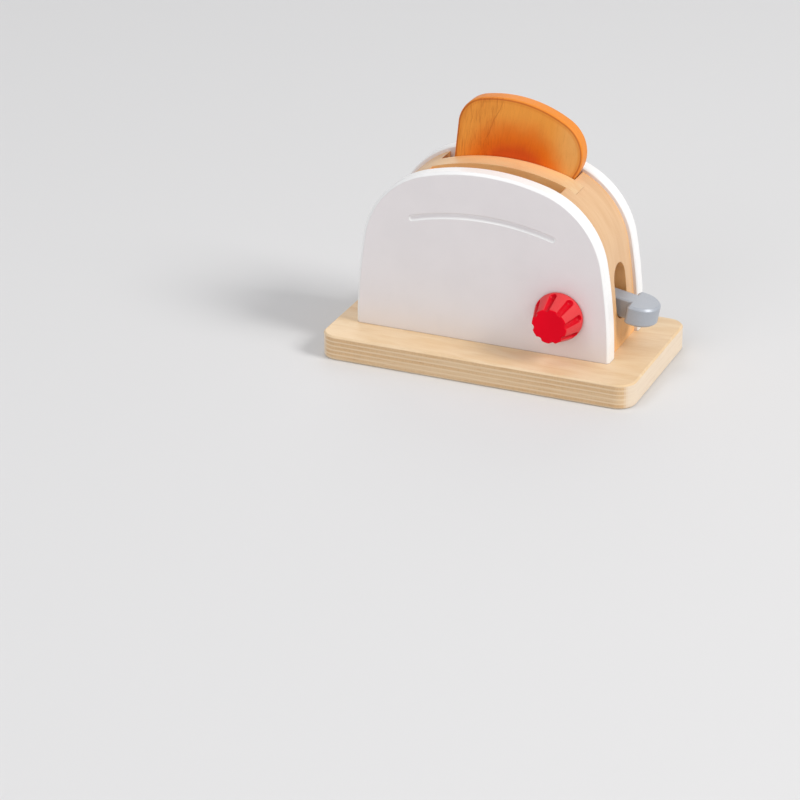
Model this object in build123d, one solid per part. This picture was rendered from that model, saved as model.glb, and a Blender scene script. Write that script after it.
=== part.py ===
from build123d import *
import math
import os

os.makedirs("parts", exist_ok=True)

# Toy pop-up toaster. Millimetres, +Z up, origin on the floor at the middle of the base board.
# +X points to the lever end, -Y to the side with the knob.

# Base board: 15 mm plywood
BASE_LENGTH = 195.0
BASE_DEPTH = 102.0
BASE_THICK = 15.0
BASE_CORNER = 10.5
BASE_TOP_EASE = 1.0
BASE_FOOT_EASE = 0.8

# Arched body outline: long side arc, shoulder arc and crown arc, tangent to each other
BODY_X = -4.1
SIDE_RADIUS = 329.0
SHOULDER_RADIUS = 53.3
CROWN_RADIUS = 132.3
SIDE_END = 10.2
SHOULDER_END = 73.9
WOOD_INSET = 2.6

# Depth layout, front to back: panel, slot, divider, slot, panel
PANEL_THICK = 9.7
PANEL_OUTER_EASE = 1.5
PANEL_INNER_EASE = 0.8
SLOT_WIDTH = 13.8
BODY_FRONT = -16.3
DIVIDER_FRONT = BODY_FRONT + SLOT_WIDTH
DIVIDER_BACK = DIVIDER_FRONT + SLOT_WIDTH
BODY_BACK = DIVIDER_BACK + SLOT_WIDTH
BODY_MID_Y = (BODY_FRONT + BODY_BACK) / 2

# Bread slots between the end blocks, and the divider let into both blocks
SLOT_LEFT = -44.5
SLOT_RIGHT = 38.7
DIVIDER_BOTTOM = 76.0
TONGUE = 6.0

# Groove pressed in the front panel, parallel to the crown
GROOVE_RADIUS = 158.0
GROOVE_SWEEP = 32.0
GROOVE_TOP = 93.0
GROOVE_CUTTER = 2.2
GROOVE_DEPTH = 1.1

# Fasteners and glued dowels
DOWEL_RADIUS = 3.0
DOWEL_IN_PANEL = 5.0
DOWEL_IN_BLOCK = 8.0
DOWEL_OFFSET_X = 64.1
DOWEL_HEIGHT = 55.0
SCREW_OFFSET_X = 54.0
SCREW_SHANK = 2.0
SCREW_HEAD = 4.0
SCREW_HEAD_DEPTH = 2.2
SCREW_SUNK = 0.8
SCREW_LENGTH = 26.0

# Rocking lever: a flat bar on a cross pin, its outer end pressed down at rest
LEVER_TILT = 10.2
PIVOT_X = 47.0
PIVOT_Z = 45.0
LEVER_THICK = 12.0
ARM_WIDTH = 11.5
HEAD_WIDTH = 24.0
HEAD_START = 31.5
LEVER_TIP = 48.0
NOSE_AT = -64.0
ARM_EASE = 0.8
ARM_STEP_END = -38.0
ARM_STEP_DEPTH = 2.0
HEAD_EASE = 1.3
HEAD_CORNER = 2.0
PIN_RADIUS = 2.5
PIN_PLAY = 0.06
SPACER_SIZE = 7.5
PIN_FRONT = -9.4
LEVER_SLOT_WIDTH = 18.4
LEVER_SLOT_BOTTOM = 32.0
LEVER_SLOT_TOP = 65.5

# Bread slice: straight left side, arched crust, one ear on the right with a waist below it
TOAST_THICK = 9.2
TOAST_FOOT_X = -7.9
TOAST_FOOT_Z = 67.9
TOAST_HALF_FOOT = 33.7
TOAST_LEAN = 3.8
TOAST_SIDE = 62.2
CRUST_ARCS = ((19.0, 72.2), (71.6, 43.3), (21.5, 90.6))
WAIST_RADIUS = 28.2
WAIST_SWEEP = 18.2
TOAST_FOOT_CORNER = 4.0
TOAST_EASE = 0.9
TOAST_GAP = 0.3

# Toast rest: one ledge under each slot, joined by a bridge that lies on the lever's nose
LEDGE_THICK = 6.0
LEDGE_LEFT = -35.0
LEDGE_RIGHT = 37.0
BRIDGE_LEFT = -20.0
BRIDGE_RIGHT = -3.0
BRIDGE_BOTTOM = -6.5
REST_GAP = 0.3
REST_DOWEL_RADIUS = 1.75
REST_DOWEL_BITE = 7.0

# Knob with scooped flutes on a spindle through the front panel
KNOB_X = 44.6
KNOB_Z = 40.5
KNOB_RADIUS = 14.8
KNOB_FRONT_RADIUS = 10.8
KNOB_HEIGHT = 16.5
KNOB_RIM = 2.0
KNOB_EASE = 0.5
FLUTES = 8
FLUTE_RADIUS = 2.2
FLUTE_AT = 13.4
FLUTE_START = 4.6
FLUTE_SLOPE = 8.0
SPINDLE_RADIUS = 4.0
SPINDLE_PLAY = 0.05
SPINDLE_BITE = 10.0
KNOB_GAP = 0.3
WASHER_RADIUS = 7.0
WASHER_THICK = 1.0
KNOB_SCREW_SHANK = 1.5
KNOB_SCREW_HEAD = 3.0
KNOB_SCREW_HEAD_THICK = 1.6
KNOB_SCREW_LENGTH = 10.0
POCKET_RADIUS = 8.5
POCKET_DEPTH = 4.2

FRONT_FACE = BODY_FRONT - PANEL_THICK
REAR_FACE = BODY_BACK + PANEL_THICK
SPINDLE_END = -(PANEL_THICK + 2 * KNOB_GAP)


def block(low, high):
    """Box between two opposite corners."""
    size = [b - a for a, b in zip(low, high)]
    return Pos(*low) * Box(*size, align=(Align.MIN, Align.MIN, Align.MIN))


def rod_y(radius, x, z, y_from, y_to):
    """Round bar along Y."""
    length = y_to - y_from
    return Pos(x, (y_from + y_to) / 2, z) * Rot(90, 0, 0) * Cylinder(radius, length)


def upright(face, y_front, y_back):
    """Slab made from a face drawn in X and Z, between two depths."""
    plane = Plane(origin=(0, y_back, 0), x_dir=(1, 0, 0), z_dir=(0, -1, 0))
    return extrude(plane * face, amount=y_back - y_front)


def arch_face(inset=0.0):
    """Arch outline standing on the base board, optionally drawn in by a margin."""
    radii = [radius - inset for radius in (SIDE_RADIUS, SHOULDER_RADIUS, CROWN_RADIUS)]
    ends = [math.cos(math.radians(angle)) for angle in (0, SIDE_END, SHOULDER_END, 90)]
    half_width = sum(r * (ends[i] - ends[i + 1]) for i, r in enumerate(radii))
    side = JernArc((half_width, 0), (0, 1), radii[0], SIDE_END)
    shoulder = JernArc(side @ 1, side % 1, radii[1], SHOULDER_END - SIDE_END)
    crown = JernArc(shoulder @ 1, shoulder % 1, radii[2], 90 - SHOULDER_END)
    right = side + shoulder + crown
    foot = Line((-half_width, 0), (half_width, 0))
    return Pos(BODY_X, BASE_THICK) * make_face(right + mirror(right, Plane.YZ) + foot)


def rod_z(radius, length):
    """Round bar standing on zero."""
    return Cylinder(radius, length, align=(Align.CENTER, Align.CENTER, Align.MIN))


def flat_headed_screw():
    """Screw pointing up, the face of its head at zero."""
    return rod_z(SCREW_HEAD, SCREW_HEAD_DEPTH) + rod_z(SCREW_SHANK, SCREW_LENGTH)


def base_screw_places():
    """One screw up into the middle of each end block."""
    return [Pos(BODY_X + side * SCREW_OFFSET_X, BODY_MID_Y, SCREW_SUNK) for side in (-1, 1)]


def base_screws():
    return [place * flat_headed_screw() for place in base_screw_places()]


def base_board():
    board = Pos(0, 0, BASE_THICK / 2) * Box(BASE_LENGTH, BASE_DEPTH, BASE_THICK)
    board = fillet(board.edges().filter_by(Axis.Z), BASE_CORNER)
    board = chamfer(board.faces().sort_by(Axis.Z)[0].edges(), BASE_FOOT_EASE)
    board = chamfer(board.faces().sort_by(Axis.Z)[-1].edges(), BASE_TOP_EASE)
    for place in base_screw_places():
        mouth = Pos(0, 0, -SCREW_SUNK) * rod_z(SCREW_HEAD, SCREW_SUNK)
        board = board - place * (flat_headed_screw() + mouth)
    return board


def arch_panel(y_outer, y_inner):
    """White arched panel with a flat foot, well eased outside and lightly on the wood side."""
    panel = upright(arch_face(), min(y_outer, y_inner), max(y_outer, y_inner))
    for y_face, size in ((y_outer, PANEL_OUTER_EASE), (y_inner, PANEL_INNER_EASE)):
        arcs = panel.edges().filter_by(GeomType.CIRCLE)
        panel = chamfer([arc for arc in arcs if abs(arc.center().Y - y_face) < PANEL_INNER_EASE], size)
    return panel


def panel_dowels(y_from, y_to):
    """Glued dowels between one panel and the two end blocks."""
    places = (BODY_X - DOWEL_OFFSET_X, BODY_X + DOWEL_OFFSET_X)
    return [rod_y(DOWEL_RADIUS, x, DOWEL_HEIGHT, y_from, y_to) for x in places]


def front_panel_dowels():
    return panel_dowels(BODY_FRONT - DOWEL_IN_PANEL, BODY_FRONT + DOWEL_IN_BLOCK)


def rear_panel_dowels():
    return panel_dowels(BODY_BACK - DOWEL_IN_BLOCK, BODY_BACK + DOWEL_IN_PANEL)


def front_panel():
    panel = arch_panel(FRONT_FACE, BODY_FRONT)
    start = 90 - GROOVE_SWEEP / 2
    arc = CenterArc((0, 0), GROOVE_RADIUS, start, GROOVE_SWEEP)
    path = Plane.XZ * arc
    section = Plane(origin=path @ 0, z_dir=path % 0) * Circle(GROOVE_CUTTER)
    cutter = sweep(section, path=path)
    for end in (path @ 0, path @ 1):
        cutter = cutter + Pos(*end) * Sphere(GROOVE_CUTTER)
    place = Pos(BODY_X, FRONT_FACE - GROOVE_CUTTER + GROOVE_DEPTH, GROOVE_TOP - GROOVE_RADIUS)
    panel = panel - place * cutter
    panel = panel - rod_y(SPINDLE_RADIUS + SPINDLE_PLAY, KNOB_X, KNOB_Z, FRONT_FACE, BODY_FRONT)
    for dowel in front_panel_dowels():
        panel = panel - dowel
    return panel


def rear_panel():
    panel = arch_panel(REAR_FACE, BODY_BACK)
    for dowel in rear_panel_dowels():
        panel = panel - dowel
    return panel


def divider_zone():
    """Room that the divider and its two tongues take up."""
    low = (SLOT_LEFT - TONGUE, DIVIDER_FRONT, DIVIDER_BOTTOM)
    high = (SLOT_RIGHT + TONGUE, DIVIDER_BACK, BASE_THICK + CROWN_RADIUS)
    return block(low, high)


def wooden_arch():
    """Solid wood between the panels, before it is parted."""
    return upright(arch_face(WOOD_INSET), BODY_FRONT, BODY_BACK)


def end_block(x_from, x_to):
    """One end of the wooden arch, notched for the divider and drilled for dowels and screws."""
    zone = block((x_from, BODY_FRONT, BASE_THICK), (x_to, BODY_BACK, BASE_THICK + CROWN_RADIUS))
    wood = (wooden_arch() & zone) - divider_zone()
    for fastener in front_panel_dowels() + rear_panel_dowels() + base_screws():
        wood = wood - fastener
    return wood


def left_end_block():
    return end_block(-BASE_LENGTH / 2, SLOT_LEFT)


def right_end_block():
    """End block with the lever slot, the pin bore and the pocket behind the knob."""
    slot_height = LEVER_SLOT_TOP - LEVER_SLOT_BOTTOM
    slot_mid = (LEVER_SLOT_TOP + LEVER_SLOT_BOTTOM) / 2
    mouth = Plane.YZ * Pos(BODY_MID_Y, slot_mid) * SlotOverall(slot_height, LEVER_SLOT_WIDTH, rotation=90)
    slot = extrude(mouth, amount=BASE_LENGTH / 2)
    pocket = rod_y(POCKET_RADIUS, KNOB_X, KNOB_Z, BODY_FRONT, BODY_FRONT + POCKET_DEPTH)
    return end_block(SLOT_RIGHT, BASE_LENGTH / 2) - slot - lever_pivot_pin() - pocket


def centre_divider():
    return wooden_arch() & divider_zone()


def lever():
    """Flat bar with a half-round press pad outside and a stepped arm with a round nose inside."""
    half = LEVER_THICK / 2
    round_at = LEVER_TIP - HEAD_WIDTH / 2
    arm = block((NOSE_AT, -ARM_WIDTH / 2, -half), (round_at, ARM_WIDTH / 2, half))
    arm = chamfer(arm.edges().filter_by(Axis.X), ARM_EASE)
    arm = arm - block((NOSE_AT, -ARM_WIDTH, half - ARM_STEP_DEPTH), (ARM_STEP_END, ARM_WIDTH, half))
    plan = Pos((HEAD_START + round_at) / 2, 0) * Rectangle(round_at - HEAD_START, HEAD_WIDTH)
    plan = plan + Pos(round_at, 0) * Circle(HEAD_WIDTH / 2)
    plan = plan & Pos((HEAD_START + LEVER_TIP) / 2, 0) * Rectangle(LEVER_TIP - HEAD_START, HEAD_WIDTH)
    pad = Pos(0, 0, -half) * extrude(plan, amount=LEVER_THICK)
    pad = fillet(pad.edges().filter_by(Axis.Z).sort_by(Axis.X)[:2], HEAD_CORNER)
    for layer in (0, -1):
        pad = chamfer(pad.faces().sort_by(Axis.Z)[layer].edges(), HEAD_EASE)
    nose = rod_y(half, NOSE_AT, 0, -ARM_WIDTH / 2, ARM_WIDTH / 2)
    bore = rod_y(PIN_RADIUS + PIN_PLAY, 0, 0, -HEAD_WIDTH, HEAD_WIDTH)
    return Pos(PIVOT_X, BODY_MID_Y, PIVOT_Z) * Rot(0, LEVER_TILT, 0) * (arm + pad + nose - bore)


def lever_pivot_pin():
    return rod_y(PIN_RADIUS, PIVOT_X, PIVOT_Z, PIN_FRONT, BODY_BACK)


def lever_spacers():
    """One square spacer on the pin at each side of the arm, against the slot walls."""
    thick = (LEVER_SLOT_WIDTH - ARM_WIDTH) / 2 - REST_GAP
    spacers = []
    for side in (-1, 1):
        middle = BODY_MID_Y + side * (LEVER_SLOT_WIDTH - thick) / 2
        spacer = Pos(PIVOT_X, middle, PIVOT_Z) * Box(SPACER_SIZE, thick, SPACER_SIZE)
        spacers.append(spacer - lever_pivot_pin())
    return spacers


def on_toast_rest(piece):
    """Place a piece drawn from the middle of the toast's foot."""
    return Pos(TOAST_FOOT_X, 0, TOAST_FOOT_Z) * Rot(0, LEVER_TILT, 0) * piece


def toast_ledge(y_front, y_back):
    low = (LEDGE_LEFT, y_front + REST_GAP, -TOAST_GAP - LEDGE_THICK)
    high = (LEDGE_RIGHT, y_back - REST_GAP, -TOAST_GAP)
    return block(low, high)


def rest_dowel_rods():
    """Two thin dowels through the bridge into both ledges, at the quarter points of its length."""
    middle = (BRIDGE_BOTTOM - TOAST_GAP) / 2
    rods = []
    for place in (0.25, 0.75):
        along = BRIDGE_LEFT + place * (BRIDGE_RIGHT - BRIDGE_LEFT)
        y_from = DIVIDER_FRONT - REST_DOWEL_BITE
        rods.append(rod_y(REST_DOWEL_RADIUS, along, middle, y_from, DIVIDER_BACK + REST_DOWEL_BITE))
    return rods


def drilled(piece, rods):
    for rod in rods:
        piece = piece - rod
    return piece


def front_toast_ledge():
    ledge = toast_ledge(BODY_FRONT, DIVIDER_FRONT + REST_GAP)
    return on_toast_rest(drilled(ledge, rest_dowel_rods()))


def rear_toast_ledge():
    ledge = toast_ledge(DIVIDER_BACK - REST_GAP, BODY_BACK)
    return on_toast_rest(drilled(ledge, rest_dowel_rods()))


def rest_bridge():
    low = (BRIDGE_LEFT, DIVIDER_FRONT, BRIDGE_BOTTOM)
    high = (BRIDGE_RIGHT, DIVIDER_BACK, -TOAST_GAP)
    return on_toast_rest(drilled(block(low, high), rest_dowel_rods()))


def rest_dowels():
    return [on_toast_rest(rod) for rod in rest_dowel_rods()]


def toast_face():
    """Slice outline, its foot on the X axis."""
    side = PolarLine((-TOAST_HALF_FOOT, 0), TOAST_SIDE, 90 + TOAST_LEAN)
    outline = side
    last = side
    for radius, sweep_angle in CRUST_ARCS:
        last = JernArc(last @ 1, last % 1, radius, -sweep_angle)
        outline = outline + last
    waist = JernArc(last @ 1, last % 1, WAIST_RADIUS, WAIST_SWEEP)
    down = waist % 1
    foot_end = (waist @ 1) - down * ((waist @ 1).Y / down.Y)
    outline = outline + waist + Line(waist @ 1, foot_end) + Line(foot_end, side @ 0)
    return make_face(outline)


def toast_slice():
    front = DIVIDER_BACK + REST_GAP
    slice_ = upright(toast_face(), front, front + TOAST_THICK)
    corners = slice_.edges().filter_by(Axis.Y).sort_by(Axis.Z)[:2]
    slice_ = fillet(corners, TOAST_FOOT_CORNER)
    rims = slice_.faces().sort_by(Axis.Y)[0].edges() + slice_.faces().sort_by(Axis.Y)[-1].edges()
    return on_toast_rest(chamfer(rims, TOAST_EASE))


def on_knob_axis(piece):
    """Place a piece drawn along +Z from the knob's back face so that it points out of the front panel."""
    return Pos(KNOB_X, FRONT_FACE - KNOB_GAP, KNOB_Z) * Rot(90, 0, 0) * piece


def flute_cutter():
    """Flat-ended round cutter that leans in towards the knob's front."""
    return Pos(FLUTE_AT, 0, FLUTE_START) * Rot(0, -FLUTE_SLOPE, 0) * rod_z(FLUTE_RADIUS, KNOB_HEIGHT)


def control_knob():
    """Tapered knob with blunt-ended flutes that run out at its flat front."""
    rim = (KNOB_RADIUS, KNOB_RIM)
    front = (KNOB_FRONT_RADIUS, KNOB_HEIGHT)
    profile = Polyline((0, 0), (KNOB_RADIUS, 0), rim, front, (0, KNOB_HEIGHT), close=True)
    knob = revolve(Plane.XZ * make_face(profile), Axis.Z)
    knob = chamfer(knob.edges().group_by(Axis.Z)[-1], KNOB_EASE)
    for number in range(FLUTES):
        knob = knob - Rot(0, 0, number * 360 / FLUTES) * flute_cutter()
    return on_knob_axis(knob - rod_z(SPINDLE_RADIUS, SPINDLE_BITE))


def knob_spindle():
    """Dowel glued into the knob, ending just behind the front panel."""
    spindle = rod_z(SPINDLE_RADIUS, SPINDLE_BITE - SPINDLE_END)
    return on_knob_axis(Pos(0, 0, SPINDLE_END) * (spindle - rod_z(KNOB_SCREW_SHANK, KNOB_SCREW_LENGTH)))


def knob_washer():
    ring = rod_z(WASHER_RADIUS, WASHER_THICK) - rod_z(KNOB_SCREW_SHANK, WASHER_THICK)
    return on_knob_axis(Pos(0, 0, SPINDLE_END - WASHER_THICK) * ring)


def knob_screw():
    """Screw that holds the washer on the spindle."""
    head = Pos(0, 0, -KNOB_SCREW_HEAD_THICK) * rod_z(KNOB_SCREW_HEAD, KNOB_SCREW_HEAD_THICK)
    shank = rod_z(KNOB_SCREW_SHANK, WASHER_THICK + KNOB_SCREW_LENGTH)
    return on_knob_axis(Pos(0, 0, SPINDLE_END - WASHER_THICK) * (head + shank))


PIECES = (
    base_board,
    base_screws,
    front_panel,
    rear_panel,
    front_panel_dowels,
    rear_panel_dowels,
    left_end_block,
    right_end_block,
    centre_divider,
    lever,
    lever_pivot_pin,
    lever_spacers,
    front_toast_ledge,
    rear_toast_ledge,
    rest_bridge,
    rest_dowels,
    toast_slice,
    control_knob,
    knob_spindle,
    knob_washer,
    knob_screw,
)

for make_piece in PIECES:
    piece = make_piece()
    if isinstance(piece, list):
        piece = Compound(children=piece)
    export_step(piece, f"parts/{make_piece.__name__}.step")
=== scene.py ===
"""Toy pop-up toaster: looks and stage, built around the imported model. Metres, +Z up."""

import math

import bmesh
import bpy
from mathutils import Matrix, Vector


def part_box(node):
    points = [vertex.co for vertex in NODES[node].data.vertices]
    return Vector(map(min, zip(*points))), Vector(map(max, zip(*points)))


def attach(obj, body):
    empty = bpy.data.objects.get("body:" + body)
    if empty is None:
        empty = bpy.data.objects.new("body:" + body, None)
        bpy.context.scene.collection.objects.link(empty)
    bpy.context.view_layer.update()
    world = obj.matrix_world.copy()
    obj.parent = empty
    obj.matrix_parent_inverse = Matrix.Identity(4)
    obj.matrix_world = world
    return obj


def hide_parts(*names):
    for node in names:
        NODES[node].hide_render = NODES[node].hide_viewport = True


bl_info = {
    "name": "Toy toaster",
    "version": (1, 0, 0),
    "blender": (4, 5, 0),
    "location": "View3D > Sidebar > Toaster",
    "description": "Finishes and stage for a wooden toy toaster",
    "category": "Object",
}

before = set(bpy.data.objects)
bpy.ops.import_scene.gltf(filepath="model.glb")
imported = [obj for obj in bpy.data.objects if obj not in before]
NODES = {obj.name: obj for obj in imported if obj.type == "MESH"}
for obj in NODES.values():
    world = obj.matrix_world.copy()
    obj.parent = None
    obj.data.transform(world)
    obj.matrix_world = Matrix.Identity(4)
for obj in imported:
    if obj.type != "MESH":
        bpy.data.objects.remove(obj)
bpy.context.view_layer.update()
MM = 0.001
MM_PER_METRE = 1000.0

# Places shared with the solids, in millimetres and degrees
BOARD_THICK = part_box("base_board")[1].z / MM
TOAST_FOOT = (-7.9, 67.9)
TOAST_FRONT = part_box("toast_slice")[0].y / MM
TOAST_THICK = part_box("toast_slice")[1].y / MM - TOAST_FRONT
TOAST_TILT = 10.2

# Slice outline, clockwise from the left foot: straight side, three crust arcs, waist arc
FOOT_HALF = 33.7
FOOT_CORNER = 4.0
SIDE_LEAN = 3.8
SIDE_LENGTH = 62.2
CRUST_ARCS = ((19.0, 72.2), (71.6, 43.3), (21.5, 90.6))
WAIST_ARC = (28.2, -18.2)
OUTLINE_STEP = 1.0

# Slice mesh: radius of the soft rim, then the rings of a flat face, inset at first and
# from FLAT_INSET drawn together towards the middle
RIM_SOFT = 1.3
RING_INSETS = (1.6, 1.9, 2.2, 2.6)
FLAT_INSET = 3.2
RING_SHRINKS = (0.06, 0.15, 0.3, 0.5, 0.7, 0.87)
FACE_MIDDLE = (1.0, 43.0)
SHRINK_REACH = 30
MIDDLE_REACH = 40.0

# Stain of the slice: middle and radius of the burnt patch
BURN_MIDDLE = (1.0, 42.0)
BURN_RADIUS = 34.0

# Knob: bore for the spindle, eased back edge as (in from the rim, along), straight rim,
# rounded front edge, and ball-ended scoops
BORE_RADIUS = 4.0
BORE_DEPTH = 10.0
BACK_EDGE = ((0.5, 0.0), (0.15, 0.15), (0.0, 0.5))
RIM_LENGTH = 2.0
FRONT_RADIUS = 10.8
FRONT_ROUND = 0.8
FRONT_RINGS = (0.85, 0.78, 0.7, 0.5, 0.25)
SCOOP_PITCH = 45.0
SCOOP_TURN = 10.0
SCOOP_RADIUS = 2.15
SCOOP_AT = 14.1
SCOOP_START = 4.6
SCOOP_LEAN = 12.2
KNOB_STEPS = 240
FLANK_STEPS = 40
HALVINGS = 14

# Width in metres of the hollows where each finish gets painted shade (the wood gets a painted warm bounce
# light there instead), and samples per point
WOOD_BOUNCE_REACH = 0.03
PANEL_SHADE_REACH = 0.004
KNOB_SHADE_REACH = 0.003
SHADER_SAMPLES = 4
WOOD_ROUND = 0.0006

# Stage in metres, degrees and watts; a light is name, place, diameter, power, colour
LIGHTS = (
    ("key_light", (2.6, -0.25, 2.1), 1.25, 71.0, (1.0, 0.985, 0.96)),
    ("front_fill", (-1.0, -3.0, 1.8), 2.4, 21.6, (0.96, 0.97, 1.0)),
    ("back_fill", (-1.0, 2.4, 2.0), 2.0, 10.0, (1.0, 1.0, 1.0)),
    ("top_light", (-0.9, -0.7, 2.5), 1.0, 10.4, (1.0, 1.0, 1.0)),
)
LIGHT_TARGET = (0, 0, 0.07)
AMBIENT_STRENGTH = 0.465
BACKDROP_COLOUR = (0.9, 0.9, 0.91)
BACKDROP_STRENGTH = 0.9
FLOOR_HALF = 4.0
FLOOR_DROP = 0.0002
FLOOR_TOUCH = 0.0015
CAMERA_PLACE = (0.566607, -1.443116, 0.708106)
CAMERA_TURN = (64.4562, 0.4491, 23.5035)
CAMERA_SENSOR = 36.0
CAMERA_LENS = 128.85
CAMERA_REACH = 20.0


# ---------------------------------------------------------------- settings


class ToasterSettings(bpy.types.PropertyGroup):
    """Colours and sizes that a user would change."""

    ply_light: bpy.props.FloatVectorProperty(
        name="Ply light", description="Face veneer and pale plies", subtype="COLOR", size=3,
        default=(0.80, 0.61, 0.40), min=0, max=1)
    ply_dark: bpy.props.FloatVectorProperty(
        name="Ply dark", description="Plies seen from their end grain", subtype="COLOR", size=3,
        default=(0.70, 0.465, 0.255), min=0, max=1)
    ply_count: bpy.props.IntProperty(
        name="Plies", description="Number of layers in the base board", default=11, min=3, max=21)
    wood_light: bpy.props.FloatVectorProperty(
        name="Body wood light", description="Pale early wood of the end blocks", subtype="COLOR", size=3,
        default=(0.72, 0.475, 0.275), min=0, max=1)
    wood_dark: bpy.props.FloatVectorProperty(
        name="Body wood dark", description="Darker late wood of the end blocks", subtype="COLOR", size=3,
        default=(0.60, 0.34, 0.165), min=0, max=1)
    paint_white: bpy.props.FloatVectorProperty(
        name="Panel paint", description="White paint of the arched panels", subtype="COLOR", size=3,
        default=(0.84, 0.80, 0.81), min=0, max=1)
    knob_red: bpy.props.FloatVectorProperty(
        name="Knob red", description="Red of the knob", subtype="COLOR", size=3,
        default=(0.88, 0.0025, 0.018), min=0, max=1)
    lever_grey: bpy.props.FloatVectorProperty(
        name="Lever grey", description="Silver-grey paint of the lever", subtype="COLOR", size=3,
        default=(0.38, 0.41, 0.46), min=0, max=1)
    toast_pale: bpy.props.FloatVectorProperty(
        name="Toast pale", description="Stain near the crust", subtype="COLOR", size=3,
        default=(0.92, 0.36, 0.055), min=0, max=1)
    toast_burnt: bpy.props.FloatVectorProperty(
        name="Toast burnt", description="Stain in the middle of the slice", subtype="COLOR", size=3,
        default=(0.68, 0.092, 0.008), min=0, max=1)
    toast_crust: bpy.props.FloatVectorProperty(
        name="Toast crust", description="Stain on the edge of the slice", subtype="COLOR", size=3,
        default=(0.80, 0.265, 0.032), min=0, max=1)
    edge_round: bpy.props.FloatProperty(
        name="Edge rounding", description="Radius over which sharp edges catch the light",
        default=0.0005, min=0, max=0.003, unit="LENGTH", precision=5)
    paint_round: bpy.props.FloatProperty(
        name="Painted edge rounding", description="Radius over which the painted boards' edges turn",
        default=0.0008, min=0, max=0.003, unit="LENGTH", precision=5)
    floor_colour: bpy.props.FloatVectorProperty(
        name="Floor", description="Colour of the studio floor", subtype="COLOR", size=3,
        default=(0.70, 0.70, 0.71), min=0, max=1)


# ---------------------------------------------------------------- shader helpers


class Tree:
    """Short way to place and join nodes in one node tree."""

    COLUMNS = 12
    COLUMN_WIDTH = 180
    ROW_HEIGHT = 220

    def __init__(self, tree):
        self.tree = tree
        self.count = 0

    def feed(self, socket, value):
        """Link an output to this input, or set the input's own value."""
        if isinstance(value, bpy.types.NodeSocket):
            self.tree.links.new(value, socket)
        elif socket.type == "RGBA":
            socket.default_value = (*value[:3], 1.0)
        else:
            socket.default_value = value

    def add(self, kind, values=None, **settings):
        node = self.tree.nodes.new(kind)
        self.count += 1
        row, column = divmod(self.count, self.COLUMNS)
        node.location = (self.COLUMN_WIDTH * column, -self.ROW_HEIGHT * row)
        for key, value in settings.items():
            setattr(node, key, value)
        for key, value in (values or {}).items():
            self.feed(node.inputs[key], value)
        return node

    def math(self, operation, first, second=0.0, third=None, clamp=False):
        values = {0: first, 1: second}
        if third is not None:
            values[2] = third
        return self.add("ShaderNodeMath", values, operation=operation, use_clamp=clamp).outputs[0]

    def times(self, first, second):
        return self.math("MULTIPLY", first, second)

    def mix(self, factor, first, second, blend="MIX"):
        return self.add("ShaderNodeMix", {0: factor, 6: first, 7: second}, data_type="RGBA",
                        blend_type=blend, clamp_factor=True).outputs[2]

    def ramp(self, factor, low, high):
        """Smooth step from 0 at low to 1 at high."""
        return self.add("ShaderNodeMapRange", {"Value": factor, "From Min": low, "From Max": high},
                        interpolation_type="SMOOTHSTEP", clamp=True).outputs[0]

    def place(self, vector, location=(0, 0, 0), rotation=(0, 0, 0), scale=(1, 1, 1)):
        return self.add("ShaderNodeMapping", {
            "Vector": vector, "Location": location, "Rotation": rotation, "Scale": scale}).outputs[0]

    def noise(self, vector, scale, detail=2.0, roughness=0.5):
        return self.add("ShaderNodeTexNoise", {
            "Vector": vector, "Scale": scale, "Detail": detail, "Roughness": roughness}).outputs[0]

    def stretched_noise(self, vector, scale, detail=2.0, roughness=0.5):
        """Noise with its own scale along each axis."""
        return self.noise(self.place(vector, scale=scale), 1.0, detail, roughness)

    def split(self, vector):
        return self.add("ShaderNodeSeparateXYZ", {0: vector}).outputs

    def facing(self, normal):
        """X, Y and Z of one of the surface's normals."""
        return self.split(self.add("ShaderNodeNewGeometry").outputs[normal])

    def openness(self, distance):
        """1 in the open, less in hollows of up to this width."""
        return self.add("ShaderNodeAmbientOcclusion", {"Distance": distance},
                        samples=SHADER_SAMPLES).outputs["AO"]

    def stored(self, name):
        """Number that a mesh holds at each of its points."""
        return self.add("ShaderNodeAttribute", attribute_name=name).outputs["Fac"]


def tinted(colour, factors):
    """Colour with its channels multiplied by three factors, or all by one."""
    if not isinstance(factors, tuple):
        factors = (factors,) * 3
    return tuple(channel * factor for channel, factor in zip(colour, factors))


def euler(*degrees):
    return tuple(math.radians(angle) for angle in degrees)


def new_group(name, inputs, outputs):
    """Empty shader group with named sockets, given as (name, socket type, default)."""
    group = bpy.data.node_groups.new(name, "ShaderNodeTree")
    for socket_name, kind, default in inputs:
        socket = group.interface.new_socket(name=socket_name, in_out="INPUT", socket_type=kind)
        if default is not None:
            socket.default_value = default
    for socket_name, kind in outputs:
        group.interface.new_socket(name=socket_name, in_out="OUTPUT", socket_type=kind)
    tree = Tree(group)
    return group, tree, tree.add("NodeGroupInput").outputs, tree.add("NodeGroupOutput").inputs


FLOAT, COLOUR, VECTOR = "NodeSocketFloat", "NodeSocketColor", "NodeSocketVector"


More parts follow.
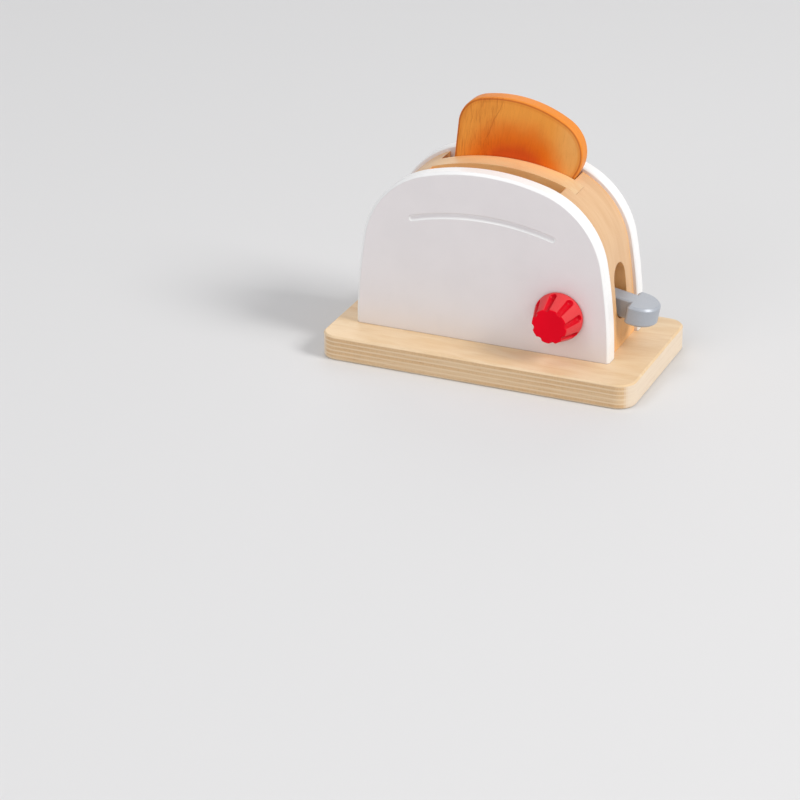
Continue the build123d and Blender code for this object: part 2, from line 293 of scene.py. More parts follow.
def wood_group():
    """Straight-grained wood with the grain along local X: growth bands, streaks and pores."""
    name = "wood_grain"
    if name in bpy.data.node_groups:
        return bpy.data.node_groups[name]
    group, tree, given, result = new_group(
        name,
        (("Vector", VECTOR, None), ("Light", COLOUR, (0.8, 0.6, 0.4, 1)),
         ("Dark", COLOUR, (0.5, 0.3, 0.2, 1)), ("Bands", FLOAT, 0.5), ("Streaks", FLOAT, 0.5),
         ("Pores", FLOAT, 0.3)),
        (("Color", COLOUR), ("Height", FLOAT)),
    )
    millimetres = tree.place(given["Vector"], scale=(MM_PER_METRE,) * 3)
    drift = tree.stretched_noise(millimetres, (0.012, 0.05, 0.05))
    spread = tree.add("ShaderNodeVectorMath", {0: millimetres, 1: (0.035, 1.0, 1.0)}, operation="MULTIPLY")
    offset = tree.add("ShaderNodeCombineXYZ", {1: tree.times(drift, 26.0), 2: tree.times(drift, 18.0)})
    moved = tree.add("ShaderNodeVectorMath", {0: spread.outputs[0], 1: offset.outputs[0]},
                     operation="ADD").outputs[0]
    bands = tree.ramp(tree.stretched_noise(moved, (1.0, 0.16, 0.16), 1.0), 0.36, 0.66)
    streaks = tree.ramp(tree.stretched_noise(moved, (0.9, 0.9, 0.9), 5.0, 0.62), 0.38, 0.68)
    pores = tree.ramp(tree.stretched_noise(millimetres, (0.22, 3.4, 3.4)), 0.60, 0.74)
    tone = tree.times(bands, given["Bands"])
    tone = tree.math("MULTIPLY_ADD", streaks, given["Streaks"], tone)
    tone = tree.math("MULTIPLY_ADD", pores, given["Pores"], tone, clamp=True)
    tree.feed(result["Color"], tree.mix(tone, given["Light"], given["Dark"]))
    tree.feed(result["Height"], tree.math("MULTIPLY_ADD", streaks, -0.35, tree.times(pores, -0.65)))
    return group


def paint_group():
    """Brushed or dipped paint: slight mottling of tone and a faint skin texture."""
    name = "paint_skin"
    if name in bpy.data.node_groups:
        return bpy.data.node_groups[name]
    group, tree, given, result = new_group(
        name,
        (("Vector", VECTOR, None), ("Color", COLOUR, (0.8, 0.8, 0.8, 1)),
         ("Shade", COLOUR, (0.7, 0.7, 0.7, 1)), ("Mottle", FLOAT, 0.2)),
        (("Color", COLOUR), ("Roughness Shift", FLOAT), ("Height", FLOAT)),
    )
    millimetres = tree.place(given["Vector"], scale=(MM_PER_METRE,) * 3)
    cloud = tree.ramp(tree.noise(millimetres, 0.035, 3.0, 0.55), 0.35, 0.7)
    skin = tree.noise(millimetres, 0.9)
    fine = tree.noise(millimetres, 4.0, 1.0)
    tree.feed(result["Color"], tree.mix(tree.times(cloud, given["Mottle"]), given["Color"], given["Shade"]))
    tree.feed(result["Roughness Shift"], tree.times(tree.math("SUBTRACT", cloud, 0.5), 0.06))
    tree.feed(result["Height"], tree.math("MULTIPLY_ADD", fine, 0.25, skin))
    return group


def start_material(name, roughness, **shader):
    """Material with one Principled shader whose fixed values are set on its own sockets."""
    material = bpy.data.materials.new(name)
    material.use_nodes = True
    material.node_tree.nodes.clear()
    tree = Tree(material.node_tree)
    output = tree.add("ShaderNodeOutputMaterial")
    principled = tree.add("ShaderNodeBsdfPrincipled", {"Roughness": roughness})
    for key, value in shader.items():
        principled.inputs[key.replace("_", " ")].default_value = value
    tree.feed(output.inputs[0], principled.outputs[0])
    coords = tree.add("ShaderNodeTexCoord").outputs["Object"]
    return material, tree, principled, coords


def finish_surface(tree, principled, colour, height=None, strength=0.2, distance=0.0002, round_edges=0.0):
    """Join the colour, the bump and the rounded-edge normal to the shader."""
    tree.feed(principled.inputs["Base Color"], colour)
    normal = None
    if round_edges > 0:
        normal = tree.add("ShaderNodeBevel", {"Radius": round_edges}, samples=SHADER_SAMPLES).outputs[0]
    if height is not None:
        bump = tree.add("ShaderNodeBump", {"Height": height, "Strength": strength, "Distance": distance})
        if normal is not None:
            tree.feed(bump.inputs["Normal"], normal)
        normal = bump.outputs[0]
    if normal is not None:
        tree.feed(principled.inputs["Normal"], normal)


def add_wood(tree, vector, light, dark, bands, streaks, pores):
    return tree.add("ShaderNodeGroup", {"Vector": vector, "Light": light, "Dark": dark, "Bands": bands,
                                        "Streaks": streaks, "Pores": pores}, node_tree=wood_group()).outputs


def add_paint(tree, vector, colour, shade, mottle):
    """Paint whose mottling goes down to a share of its colour."""
    return tree.add("ShaderNodeGroup", {"Vector": vector, "Color": colour, "Shade": tinted(colour, shade),
                                        "Mottle": mottle}, node_tree=paint_group()).outputs


# ---------------------------------------------------------------- materials


def lacquered_wood(name, light, dark, grain_rotation, shift=(0, 0, 0), spread=(1, 1, 1), streaks=0.30):
    """Clear-lacquered solid wood; grain_rotation turns the grain from X to where it runs."""
    material, tree, principled, coords = start_material(name, 0.42, Specular_IOR_Level=0.3)
    placed = tree.place(coords, location=shift, rotation=grain_rotation, scale=spread)
    wood = add_wood(tree, placed, light, dark, bands=0.32, streaks=streaks, pores=0.22)
    # Painted bounce light: in hollows the wood is painted a warmer, more orange tone, standing in for light
    # bounced between its faces.
    painted_bounce_warmth = tree.mix(1.0, wood["Color"], (1.36, 1.16, 0.80), "MULTIPLY")
    colour = tree.mix(tree.ramp(tree.openness(WOOD_BOUNCE_REACH), 0.85, 0.40), wood["Color"], painted_bounce_warmth)
    finish_surface(tree, principled, colour, wood["Height"], 0.2, 0.0001, WOOD_ROUND)
    return material


def plywood(settings):
    """Base board: veneer faces with long grain, and layered edges whose plies alternate."""
    material, tree, principled, coords = start_material("plywood", 0.45, Specular_IOR_Level=0.35)
    light, dark = settings.ply_light[:], settings.ply_dark[:]
    veneer = add_wood(tree, coords, light, tinted(light, (0.90, 0.82, 0.70)),
                      bands=0.55, streaks=0.35, pores=0.25)
    wobble = tree.stretched_noise(coords, (14, 14, 60))
    height_mm = tree.times(tree.split(coords)[2], MM_PER_METRE)
    level = tree.math("MULTIPLY_ADD", tree.math("SUBTRACT", wobble, 0.5), 0.8, height_mm)
    ply = tree.times(level, settings.ply_count / BOARD_THICK)
    phase = tree.math("PINGPONG", tree.math("SUBTRACT", ply, 0.5), 1.0)
    stripe = tree.ramp(phase, 0.18, 0.48)
    end_grain = tree.stretched_noise(coords, (1600, 1600, 500))
    long_grain = tree.stretched_noise(coords, (60, 60, 1500), 3.0)
    facing = tree.facing("True Normal")
    # Painted light: the end faces, which face along X, get plies painted fainter and a paler colour, as if
    # washed out by light from the side.
    painted_light_end = tree.ramp(tree.math("ABSOLUTE", facing[0]), 0.5, 0.8)
    pale = tree.mix(tree.times(tree.ramp(long_grain, 0.4, 0.7), 0.35), light,
                    tinted(light, (0.88, 0.80, 0.68)))
    deep = tree.mix(tree.times(tree.ramp(end_grain, 0.4, 0.65), 0.35), dark, tinted(dark, 0.78))
    stretches = tree.ramp(tree.stretched_noise(coords, (11, 11, 260), 3.0), 0.32, 0.62)
    contrast = tree.math("MULTIPLY_ADD", painted_light_end, -0.7,
                         tree.math("MULTIPLY_ADD", stretches, 0.65, 0.4), clamp=True)
    edge = tree.mix(tree.times(stripe, contrast), pale, deep)
    flecks = tree.ramp(tree.stretched_noise(coords, (90, 90, 1100)), 0.60, 0.72)
    edge = tree.mix(tree.times(tree.times(flecks, stripe), 0.35), edge, (0.50, 0.24, 0.09))
    # Painted highlight: the end faces are painted half way to pale cream.
    edge = tree.mix(tree.times(painted_light_end, 0.5), edge, (0.80, 0.72, 0.63))
    side = tree.ramp(tree.math("ABSOLUTE", facing[2]), 0.62, 0.30)
    colour = tree.mix(side, veneer["Color"], edge)
    relief = tree.math("MULTIPLY_ADD", stripe, -0.6, tree.times(end_grain, -0.4))
    height = tree.math("MULTIPLY_ADD", veneer["Height"], 0.5, tree.times(relief, side))
    finish_surface(tree, principled, colour, height, 0.3, 0.00015, settings.edge_round)
    return material


def panel_paint(settings):
    """Satin white paint with painted shade in the groove, a painted contact shadow where the panel stands
    on the board, and painted highlights on its edges.
    """
    roughness = 0.34
    material, tree, principled, coords = start_material("panel_paint", roughness, Specular_IOR_Level=0.45)
    white = settings.paint_white[:]
    skin = add_paint(tree, coords, white, shade=0.955, mottle=0.6)
    # Painted contact shadow: a band just above the board, where the panel stands on it.
    foot = tree.ramp(tree.split(coords)[2], (BOARD_THICK + 0.6) * MM, (BOARD_THICK + 0.1) * MM)
    # Painted shade in hollows such as the groove, mixed towards a brown tone.
    painted_shade = tree.times(tree.ramp(tree.openness(PANEL_SHADE_REACH), 0.85, 0.3), 0.15)
    painted_shade = tree.math("MAXIMUM", painted_shade, tree.times(foot, 0.55))
    # Painted highlight: edges and groove walls that do not face down are painted whiter than the face.
    facing = tree.facing("Normal")
    edge = tree.times(tree.ramp(tree.math("ABSOLUTE", facing[1]), 0.985, 0.8),
                      tree.ramp(facing[2], -0.5, -0.1))
    painted_edge_highlight = tuple(min(1.0, channel) for channel in tinted(white, (1.06, 1.11, 1.10)))
    colour = tree.mix(painted_shade, tree.mix(edge, skin["Color"], painted_edge_highlight), (0.42, 0.35, 0.28))
    tree.feed(principled.inputs["Roughness"], tree.math("ADD", skin["Roughness Shift"], roughness))
    finish_surface(tree, principled, colour, skin["Height"], 0.12, 0.00012, settings.paint_round)
    return material


def lever_paint(settings):
    """Silver-grey satin paint with a faint metallic flake."""
    material, tree, principled, coords = start_material(
        "lever_paint", 0.38, Metallic=0.12, Specular_IOR_Level=0.45, Coat_Weight=0.06, Coat_Roughness=0.25)
    skin = add_paint(tree, coords, settings.lever_grey[:], shade=0.88, mottle=0.5)
    flake = tree.ramp(tree.stretched_noise(coords, (5000, 5000, 5000), 0.0), 0.58, 0.72)
    colour = tree.mix(tree.times(flake, 0.35), skin["Color"], (0.72, 0.74, 0.78))
    finish_surface(tree, principled, colour, skin["Height"], 0.15, 0.00015, settings.paint_round)
    return material


def knob_paint(settings):
    """Red paint: silky on the flat front and glossier on the turned flank, with painted shade in the flutes
    and tight hollows and a painted sheen on the flank's lands.
    """
    material, tree, principled, coords = start_material(
        "knob_paint", 0.42, Specular_IOR_Level=0.04, Coat_Roughness=0.28)
    red = settings.knob_red[:]
    skin = add_paint(tree, coords, red, shade=0.86, mottle=0.6)
    flank = tree.ramp(tree.math("ABSOLUTE", tree.facing("True Normal")[1]), 0.9, 0.5)
    hollow = tree.ramp(tree.stored("hollow_mm"), 0.05, 0.5)
    land = tree.times(flank, tree.math("SUBTRACT", 1.0, hollow))
    tree.feed(principled.inputs["Coat Weight"],
              tree.math("MULTIPLY_ADD", land, 0.05, tree.times(flank, 0.2)))
    # Painted shade in hollows a few millimetres wide, such as the flutes and where the knob meets the
    # panel.
    deep = tree.times(tree.ramp(tree.openness(KNOB_SHADE_REACH), 0.9, 0.4), 0.45)
    # Painted shade: the flutes are painted a darker red the deeper they are cut.
    colour = tree.mix(hollow, skin["Color"], tinted(red, 0.74))
    # Painted sheen: the lands of the flank are painted lighter and pinker, standing in for the lamps'
    # reflection.
    colour = tree.mix(land, colour, (red[0] * 0.79, red[1] + 0.048, red[2] + 0.037))
    colour = tree.mix(deep, colour, tinted(red, 0.45))
    finish_surface(tree, principled, colour, skin["Height"], 0.2, 0.00015, settings.edge_round)
    return material


def toast_stain(settings):
    """Stained wood slice: burnt middle, paler rim, a painted shade line along the rounded edge inside the
    crust, and vertical grain.
    """
    material, tree, principled, coords = start_material("toast_stain", 0.45, Specular_IOR_Level=0.2)
    foot = tree.place(coords, location=(-TOAST_FOOT[0] * MM, 0, -TOAST_FOOT[1] * MM))
    local = tree.place(foot, rotation=euler(0, -TOAST_TILT, 0))
    upright = tree.place(local, rotation=euler(0, 90, 0))
    grain = add_wood(tree, upright, (1, 1, 1), (0.66, 0.50, 0.36), bands=0.18, streaks=0.28, pores=0.55)
    across = tree.split(local)
    sideways = tree.times(across[0], MM_PER_METRE)
    height = tree.times(across[2], MM_PER_METRE)

    # Burnt middle, amber round it, then pale, paler still to the right
    middle = tree.place(local, location=(-BURN_MIDDLE[0] * MM, 0, -BURN_MIDDLE[1] * MM))
    burn_scale = 1 / (BURN_RADIUS * MM)
    round_burn = tree.place(middle, scale=(burn_scale, 0, burn_scale))
    reach = tree.add("ShaderNodeVectorMath", {0: round_burn}, operation="LENGTH").outputs["Value"]
    uneven = tree.stretched_noise(coords, (45, 45, 45), 3.0)
    reach = tree.math("MULTIPLY_ADD", tree.math("SUBTRACT", uneven, 0.5), 0.35, reach)
    pale, burnt, crust = settings.toast_pale[:], settings.toast_burnt[:], settings.toast_crust[:]
    amber = tinted(pale, (0.9, 0.5, 0.15))
    pale = tree.mix(tree.ramp(sideways, 16.0, 34.0), pale, tinted(pale, (0.98, 1.22, 2.2)))
    colour = tree.mix(tree.ramp(reach, 0.35, 0.72), burnt, amber)
    colour = tree.mix(tree.ramp(reach, 0.62, 1.08), colour, pale)

    # Crust, the painted shade line along the rounded edge inside it, and the glow inside that
    rim = tree.stored("rim_mm")
    line = tree.times(tree.ramp(rim, 0.35, 0.8), tree.ramp(rim, 1.7, 1.2))
    glow = tree.times(tree.ramp(rim, 1.2, 1.7), tree.ramp(rim, 3.6, 2.2))
    colour = tree.mix(tree.times(glow, 0.55), colour, crust)
    colour = tree.mix(tree.ramp(rim, 1.2, 0.8), colour, crust)
    # Painted shade: a dark line on the rounded edge where the face turns into the crust.
    colour = tree.mix(tree.times(line, 0.7), colour, tinted(crust, (0.62, 0.34, 0.2)))
    strength = tree.math("MULTIPLY_ADD", tree.ramp(sideways, -6.0, -20.0), 0.6, 0.4)
    colour = tree.mix(strength, colour, grain["Color"], "MULTIPLY")

    # One slanting crack near the top and fine strokes, both on the left
    wander = tree.stretched_noise(local, (120, 120, 120))
    slanted = tree.math("MULTIPLY_ADD", tree.math("SUBTRACT", height, 58.0), -0.24, sideways)
    slanted = tree.math("MULTIPLY_ADD", wander, 3.0, tree.math("ADD", slanted, 17.5))
    crack = tree.times(tree.ramp(tree.math("ABSOLUTE", slanted), 0.5, 0.1), tree.ramp(height, 52.0, 62.0))
    crack = tree.times(crack, tree.ramp(rim, 1.5, 2.0))
    strokes = tree.place(coords, rotation=euler(0, -4, 0), scale=(1300, 1300, 75))
    strokes = tree.ramp(tree.noise(strokes, 1.0, 2.0, 0.45), 0.56, 0.68)
    strokes = tree.times(strokes, tree.ramp(sideways, -6.0, -16.0))
    crack = tree.math("MAXIMUM", tree.times(crack, 0.38), tree.times(strokes, 0.34))
    colour = tree.mix(crack, colour, (0.44, 0.07, 0.004))
    finish_surface(tree, principled, colour, grain["Height"], 0.3, 0.00015)
    return material


def zinc_steel():
    """Plated steel with fine brushing."""
    material, tree, principled, coords = start_material("zinc_steel", 0.32, Metallic=1.0)
    brushed = tree.stretched_noise(coords, (300, 3000, 3000), 3.0)
    colour = tree.mix(tree.ramp(brushed, 0.3, 0.7), (0.62, 0.62, 0.63), (0.78, 0.78, 0.77))
    finish_surface(tree, principled, colour, brushed, 0.1, 0.00005)
    return material


def assign(material, *names):
    for name in names:
        node = NODES[name]
        node.data.materials.clear()
        node.data.materials.append(material)


# ---------------------------------------------------------------- mesh helpers


def pointing(degrees):
    """Unit vector at an angle from the first axis."""
    return Vector((math.cos(math.radians(degrees)), math.sin(math.radians(degrees))))


def join_rings(builder, first, second):
    for index, point in enumerate(first):
        after = (index + 1) % len(first)
        builder.faces.new((point, first[after], second[after], second[index]))


def close_ring(builder, ring, hub, turned):
    for index, point in enumerate(ring):
        corners = (point, ring[(index + 1) % len(ring)], hub)
        builder.faces.new(corners[::-1] if turned else corners)


def finish_mesh(builder, name, attribute, values, place):
    """Mesh with one number stored at each point, moved to its place in metres."""
    mesh = bpy.data.meshes.new(name)
    builder.to_mesh(mesh)
    builder.free()
    stored = mesh.attributes.new(attribute, "FLOAT", "POINT")
    for index, value in enumerate(values):
        stored.data[index].value = value
    mesh.transform(place)
    return mesh


def add_piece(name, mesh, body, material, *replaced):
    piece = bpy.data.objects.new(name, mesh)
    bpy.context.scene.collection.objects.link(piece)
    mesh.materials.append(material)
    for polygon in mesh.polygons:
        polygon.use_smooth = True
    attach(piece, body)
    if replaced:
        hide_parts(*replaced)
    return piece


# ---------------------------------------------------------------- slice


def along_arc(here, heading, radius, turn, part):
    """Point and heading after part of a clockwise (positive) or anticlockwise turn."""
    side = -1 if turn > 0 else 1
    centre = here + pointing(heading + 90 * side) * radius
    swept = -turn * part
    spot = centre + Matrix.Rotation(math.radians(swept), 2) @ (here - centre)
    return spot, heading + swept


def corner_point(edge_x, inward, angle):
    """Point on a rounded foot corner; angle 0 faces sideways and -90 faces down."""
    centre = Vector((edge_x + inward * FOOT_CORNER, FOOT_CORNER))
    away = pointing(angle)
    return centre + Vector((-inward * away.x, away.y)) * FOOT_CORNER


def slice_outline():
    """Points and outward normals round the slice, clockwise from the left foot corner."""
    here = Vector((-FOOT_HALF, 0.0))
    left_x = here.x
    heading = 90.0 + SIDE_LEAN
    points = []
    count = round(SIDE_LENGTH / OUTLINE_STEP)
    for number in range(count):
        points.append((here + pointing(heading) * SIDE_LENGTH * (number / count), heading))
    here = here + pointing(heading) * SIDE_LENGTH
    for radius, turn in (*CRUST_ARCS, WAIST_ARC):
        count = round(radius * abs(math.radians(turn)) / OUTLINE_STEP)
        points += [along_arc(here, heading, radius, turn, number / count) for number in range(count)]
        here, heading = along_arc(here, heading, radius, turn, 1.0)
    for number in range(round(here.y / OUTLINE_STEP)):
        points.append((here - Vector((0, number * OUTLINE_STEP)), heading))
    outline = [(spot, angle + 90) for spot, angle in points if spot.y > FOOT_CORNER]
    right_x = here.x
    outline += [(corner_point(right_x, -1, angle), angle) for angle in range(0, -91, -10)]
    width = right_x - left_x - 2 * FOOT_CORNER
    count = round(width / OUTLINE_STEP)
    for number in range(1, count):
        outline.append((Vector((right_x - FOOT_CORNER - width * number / count, 0)), -90))
    outline += [(corner_point(left_x, 1, angle), 180 - angle) for angle in range(-90, 1, 10)]
    return [(spot, pointing(angle)) for spot, angle in outline]


def slice_mesh():
    """Slice with rounded edges; rim_mm holds each point's distance in from the outline."""
    outline = slice_outline()
    profile = [(TOAST_THICK / 2, 0.0), (TOAST_THICK / 4, 0.0), (RIM_SOFT, 0.0)]
    for angle in range(15, 91, 15):
        turn = math.radians(angle)
        profile.append((RIM_SOFT - RIM_SOFT * math.sin(turn), RIM_SOFT - RIM_SOFT * math.cos(turn)))
    profile += [(0.0, inset) for inset in (*RING_INSETS, FLAT_INSET)]
    rows = [(*row, 0.0) for row in profile] + [(0.0, FLAT_INSET, shrink) for shrink in RING_SHRINKS]
    centre = Vector(FACE_MIDDLE)
    builder = bmesh.new()
    rims = []

    def ring_of(depth, inset, shrink):
        ring = []
        for spot, normal in outline:
            flat = (spot - normal * inset).lerp(centre, shrink)
            ring.append(builder.verts.new((flat.x, depth, flat.y)))
            rims.append(inset + shrink * SHRINK_REACH)
        return ring

    for front in (True, False):
        rings = [ring_of(depth if front else TOAST_THICK - depth, inset, shrink)
                 for depth, inset, shrink in rows]
        for first, second in zip(rings, rings[1:]):
            join_rings(builder, *((second, first) if front else (first, second)))
        hub = builder.verts.new((centre.x, 0 if front else TOAST_THICK, centre.y))
        rims.append(MIDDLE_REACH)
        close_ring(builder, rings[-1], hub, front)
    place = Matrix.Scale(MM, 4) @ Matrix.Translation((TOAST_FOOT[0], TOAST_FRONT, TOAST_FOOT[1]))
    place = place @ Matrix.Rotation(math.radians(TOAST_TILT), 4, "Y")
    return finish_mesh(builder, "toast_slice_stained", "rim_mm", rims, place)


# ---------------------------------------------------------------- knob


def knob_profile(radius, length):
    """Half section of the knob as (radius, distance from its back), from the bore to the front."""
    section = [(BORE_RADIUS, BORE_DEPTH), (BORE_RADIUS, 0.0)]
    section += [(radius - inset, along) for inset, along in BACK_EDGE] + [(radius, RIM_LENGTH)]
    flank = length - FRONT_ROUND - RIM_LENGTH
    for number in range(1, FLANK_STEPS + 1):
        part = number / FLANK_STEPS
        section.append((radius + (FRONT_RADIUS - radius) * part, RIM_LENGTH + flank * part))
    for angle in range(15, 91, 15):
        turn = math.radians(angle)
        section.append((FRONT_RADIUS - FRONT_ROUND * (1 - math.cos(turn)),
                        length - FRONT_ROUND * (1 - math.sin(turn))))
    return section + [(FRONT_RADIUS * part, length) for part in FRONT_RINGS]


def scoop_depth(radius, along, angle):
    """How far a point is from the middle line of the nearest scoop, less the scoop's radius."""
    nearest = (angle - SCOOP_TURN + SCOOP_PITCH / 2) % SCOOP_PITCH - SCOOP_PITCH / 2
    turn = math.radians(nearest)
    lean = Vector((-math.sin(math.radians(SCOOP_LEAN)), 0, math.cos(math.radians(SCOOP_LEAN))))
    point = Vector((radius * math.cos(turn) - SCOOP_AT, radius * math.sin(turn), along - SCOOP_START))
    return (point - lean * max(0.0, point.dot(lean))).length - SCOOP_RADIUS


def scooped_radius(radius, along, angle):
    """Radius of the knob at one place once the ball-ended scoops are cut."""
    if along < RIM_LENGTH or scoop_depth(radius, along, angle) >= 0:
        return radius
    inner, outer = SCOOP_AT - 4 * SCOOP_RADIUS, radius
    if inner < 0 or scoop_depth(inner, along, angle) < 0:
        inner = 0.0
    for _ in range(HALVINGS):
        middle = (inner + outer) / 2
        if scoop_depth(middle, along, angle) < 0:
            outer = middle
        else:
            inner = middle
    return inner


def knob_mesh():
    """Tapered knob with ball-ended scoops; hollow_mm holds how deep each point is cut in."""
    low, high = (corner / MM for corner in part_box("control_knob"))
    section = knob_profile((high.x - low.x) / 2, high.y - low.y)
    builder = bmesh.new()
    rings = []
    hollows = []
    for radius, along in section:
        ring = []
        for step in range(KNOB_STEPS):
            angle = 360 * step / KNOB_STEPS
            reach = scooped_radius(radius, along, angle)
            turn = math.radians(angle)
            ring.append(builder.verts.new((reach * math.cos(turn), reach * math.sin(turn), along)))
            hollows.append(radius - reach)
        rings.append(ring)
    for first, second in zip(rings, rings[1:]):
        join_rings(builder, first, second)
    for ring, along, turned in ((rings[0], BORE_DEPTH, True), (rings[-1], section[-1][1], False)):
        close_ring(builder, ring, builder.verts.new((0, 0, along)), turned)
        hollows.append(0.0)
    place = Matrix.Translation(((low.x + high.x) / 2, high.y, (low.z + high.z) / 2))
    place = Matrix.Scale(MM, 4) @ (place @ Matrix.Rotation(math.radians(90), 4, "X"))
    return finish_mesh(builder, "scooped_knob", "hollow_mm", hollows, place)


# ---------------------------------------------------------------- operators


class TOASTER_OT_base_board(bpy.types.Operator):
    """Finish the plywood base board"""

    bl_idname = "toaster.base_board"
    bl_label = "Base board"

    def execute(self, context):
        assign(plywood(context.scene.toaster), "base_board")
        return {"FINISHED"}


class TOASTER_OT_panels(bpy.types.Operator):
    """Paint the two arched panels"""

    bl_idname = "toaster.panels"
    bl_label = "Arched panels"

    def execute(self, context):
        assign(panel_paint(context.scene.toaster), "front_panel", "rear_panel")
        return {"FINISHED"}


class TOASTER_OT_wooden_body(bpy.types.Operator):
    """Finish the end blocks, the divider, the toast rest, the dowels and the knob's spindle"""

    bl_idname = "toaster.wooden_body"
    bl_label = "Wooden body"

    def execute(self, context):
        settings = context.scene.toaster
        light, dark = settings.wood_light[:], settings.wood_dark[:]
        standing = euler(0, 90, 0)
        paler = tinted(light, (1.03, 1.10, 1.10))
        softer = tinted(dark, 1.15)
        quartered = (0.1, 1, 0.6)
        assign(lacquered_wood("left_block_wood", light, dark, standing, (0.3, 0.1, 0.2), quartered,
                              streaks=0.22), "left_end_block")
        assign(lacquered_wood("right_block_wood", light, dark, standing, (0, 0, 0), quartered,
                              streaks=0.22), "right_end_block")
        assign(lacquered_wood("divider_wood", paler, softer, (0, 0, 0), (0.1, 0.2, 0.3)), "centre_divider")
        assign(lacquered_wood("rest_wood", light, dark, euler(0, -10, 0)),
               "front_toast_ledge", "rear_toast_ledge", "rest_bridge")
        assign(lacquered_wood("dowel_wood", softer, dark, euler(0, 0, 90)),
               "front_panel_dowels", "rear_panel_dowels", "rest_dowels", "knob_spindle")
        return {"FINISHED"}


class TOASTER_OT_lever(bpy.types.Operator):
    """Paint the lever"""

    bl_idname = "toaster.lever"
    bl_label = "Lever"

    def execute(self, context):
        assign(lever_paint(context.scene.toaster), "lever")
        return {"FINISHED"}


class TOASTER_OT_toast(bpy.types.Operator):
    """Build the stained slice of toast"""

    bl_idname = "toaster.toast"
    bl_label = "Toast"

    def execute(self, context):
        stain = toast_stain(context.scene.toaster)
        piece = add_piece("stained_toast", slice_mesh(), "toast", stain, "toast_slice")
        return {"FINISHED"}


class TOASTER_OT_knob(bpy.types.Operator):
    """Build and paint the knob"""

    bl_idname = "toaster.knob"
    bl_label = "Knob"

    def execute(self, context):
        paint = knob_paint(context.scene.toaster)
        piece = add_piece("scooped_knob", knob_mesh(), "knob", paint, "control_knob")
        return {"FINISHED"}


class TOASTER_OT_hardware(bpy.types.Operator):
    """Finish the screws, the pin, the spacers and the washer"""

    bl_idname = "toaster.hardware"
    bl_label = "Hardware"

    def execute(self, context):
        assign(zinc_steel(), "base_screws", "lever_pivot_pin", "lever_spacers", "knob_washer", "knob_screw")
        return {"FINISHED"}


class TOASTER_OT_stage(bpy.types.Operator):
    """Build the floor, the lights and the camera"""

    bl_idname = "toaster.stage"
    bl_label = "Stage"

    def execute(self, context):
        build_floor(context.scene.toaster)
        build_lights()
        build_camera(context.scene)
        context.scene.view_settings.view_transform = "Standard"
        return {"FINISHED"}


def build_floor(settings):
    """Floor that is clear from below, and clear to rays shorter than FLOOR_TOUCH."""
    mesh = bpy.data.meshes.new("studio_floor")
    builder = bmesh.new()
    bmesh.ops.create_grid(builder, x_segments=4, y_segments=4, size=FLOOR_HALF)
    builder.to_mesh(mesh)
    builder.free()
    floor = bpy.data.objects.new("studio_floor", mesh)
    floor.location.z = -FLOOR_DROP
    bpy.context.scene.collection.objects.link(floor)
    material, tree, principled, coords = start_material("floor_paint", 0.8, Specular_IOR_Level=0.2)
    speck = tree.stretched_noise(coords, (3, 3, 3))
    colour = settings.floor_colour[:]
    finish_surface(tree, principled, tree.mix(tree.times(speck, 0.4), colour, tinted(colour, 0.985)))
    clear = tree.add("ShaderNodeBsdfTransparent")
    behind = tree.add("ShaderNodeNewGeometry").outputs["Backfacing"]
    ray_length = tree.add("ShaderNodeLightPath").outputs["Ray Length"]
    unseen = tree.math("MAXIMUM", behind, tree.math("LESS_THAN", ray_length, FLOOR_TOUCH))
    mix = tree.add("ShaderNodeMixShader", {0: unseen, 1: principled.outputs[0], 2: clear.outputs[0]})
    output = next(node for node in tree.tree.nodes if node.type == "OUTPUT_MATERIAL")
    tree.feed(output.inputs[0], mix.outputs[0])
    mesh.materials.append(material)


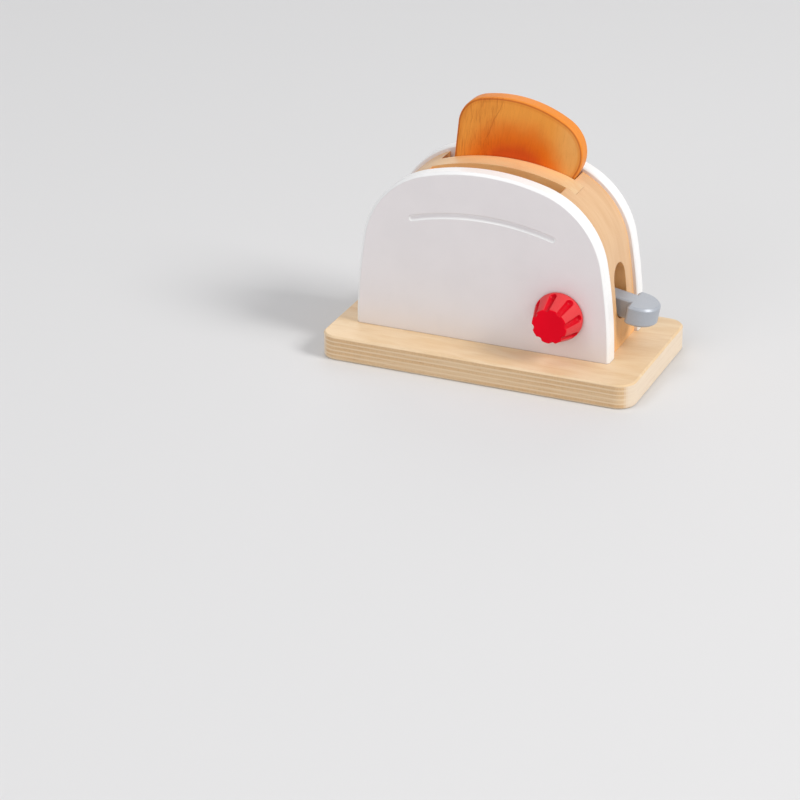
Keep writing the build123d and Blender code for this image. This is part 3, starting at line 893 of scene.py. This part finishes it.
def build_lights():
    for name, location, size, power, colour in LIGHTS:
        data = bpy.data.lights.new(name, "AREA")
        data.shape = "DISK"
        data.size = size
        data.energy = power
        data.color = colour
        light = bpy.data.objects.new(name, data)
        light.location = location
        light.rotation_euler = (Vector(LIGHT_TARGET) - Vector(location)).to_track_quat("-Z", "Y").to_euler()
        bpy.context.scene.collection.objects.link(light)
    world = bpy.data.worlds.new("studio_world")
    world.use_nodes = True
    tree = Tree(world.node_tree)
    world.node_tree.nodes.clear()
    output = tree.add("ShaderNodeOutputWorld")
    ambient = tree.add("ShaderNodeBackground", {"Color": (1, 1, 1), "Strength": AMBIENT_STRENGTH})
    backdrop = tree.add("ShaderNodeBackground", {"Color": BACKDROP_COLOUR, "Strength": BACKDROP_STRENGTH})
    path = tree.add("ShaderNodeLightPath").outputs
    seen = tree.math("MAXIMUM", path["Is Camera Ray"], path["Is Glossy Ray"])
    mix = tree.add("ShaderNodeMixShader", {0: seen, 1: ambient.outputs[0], 2: backdrop.outputs[0]})
    tree.feed(output.inputs[0], mix.outputs[0])
    bpy.context.scene.world = world


def build_camera(scene):
    data = bpy.data.cameras.new("photo_camera")
    data.sensor_width = CAMERA_SENSOR
    data.lens = CAMERA_LENS
    data.clip_end = CAMERA_REACH
    camera = bpy.data.objects.new("photo_camera", data)
    camera.location = CAMERA_PLACE
    camera.rotation_euler = euler(*CAMERA_TURN)
    scene.collection.objects.link(camera)
    scene.camera = camera


class TOASTER_PT_panel(bpy.types.Panel):
    """Steps and settings of the toy toaster"""

    bl_idname = "TOASTER_PT_panel"
    bl_label = "Toy toaster"
    bl_space_type = "VIEW_3D"
    bl_region_type = "UI"
    bl_category = "Toaster"

    def draw(self, context):
        for name in ToasterSettings.__annotations__:
            self.layout.prop(context.scene.toaster, name)
        for operator in OPERATORS:
            self.layout.operator(operator.bl_idname)


OPERATORS = (
    TOASTER_OT_base_board,
    TOASTER_OT_panels,
    TOASTER_OT_wooden_body,
    TOASTER_OT_lever,
    TOASTER_OT_toast,
    TOASTER_OT_knob,
    TOASTER_OT_hardware,
    TOASTER_OT_stage,
)
CLASSES = (ToasterSettings, *OPERATORS, TOASTER_PT_panel)


def register():
    for cls in CLASSES:
        bpy.utils.register_class(cls)
    bpy.types.Scene.toaster = bpy.props.PointerProperty(type=ToasterSettings)


def unregister():
    del bpy.types.Scene.toaster
    for cls in reversed(CLASSES):
        bpy.utils.unregister_class(cls)


def main():
    register()
    for operator in OPERATORS:
        group, name = operator.bl_idname.split(".")
        getattr(getattr(bpy.ops, group), name)()


if __name__ == "__main__":
    main()
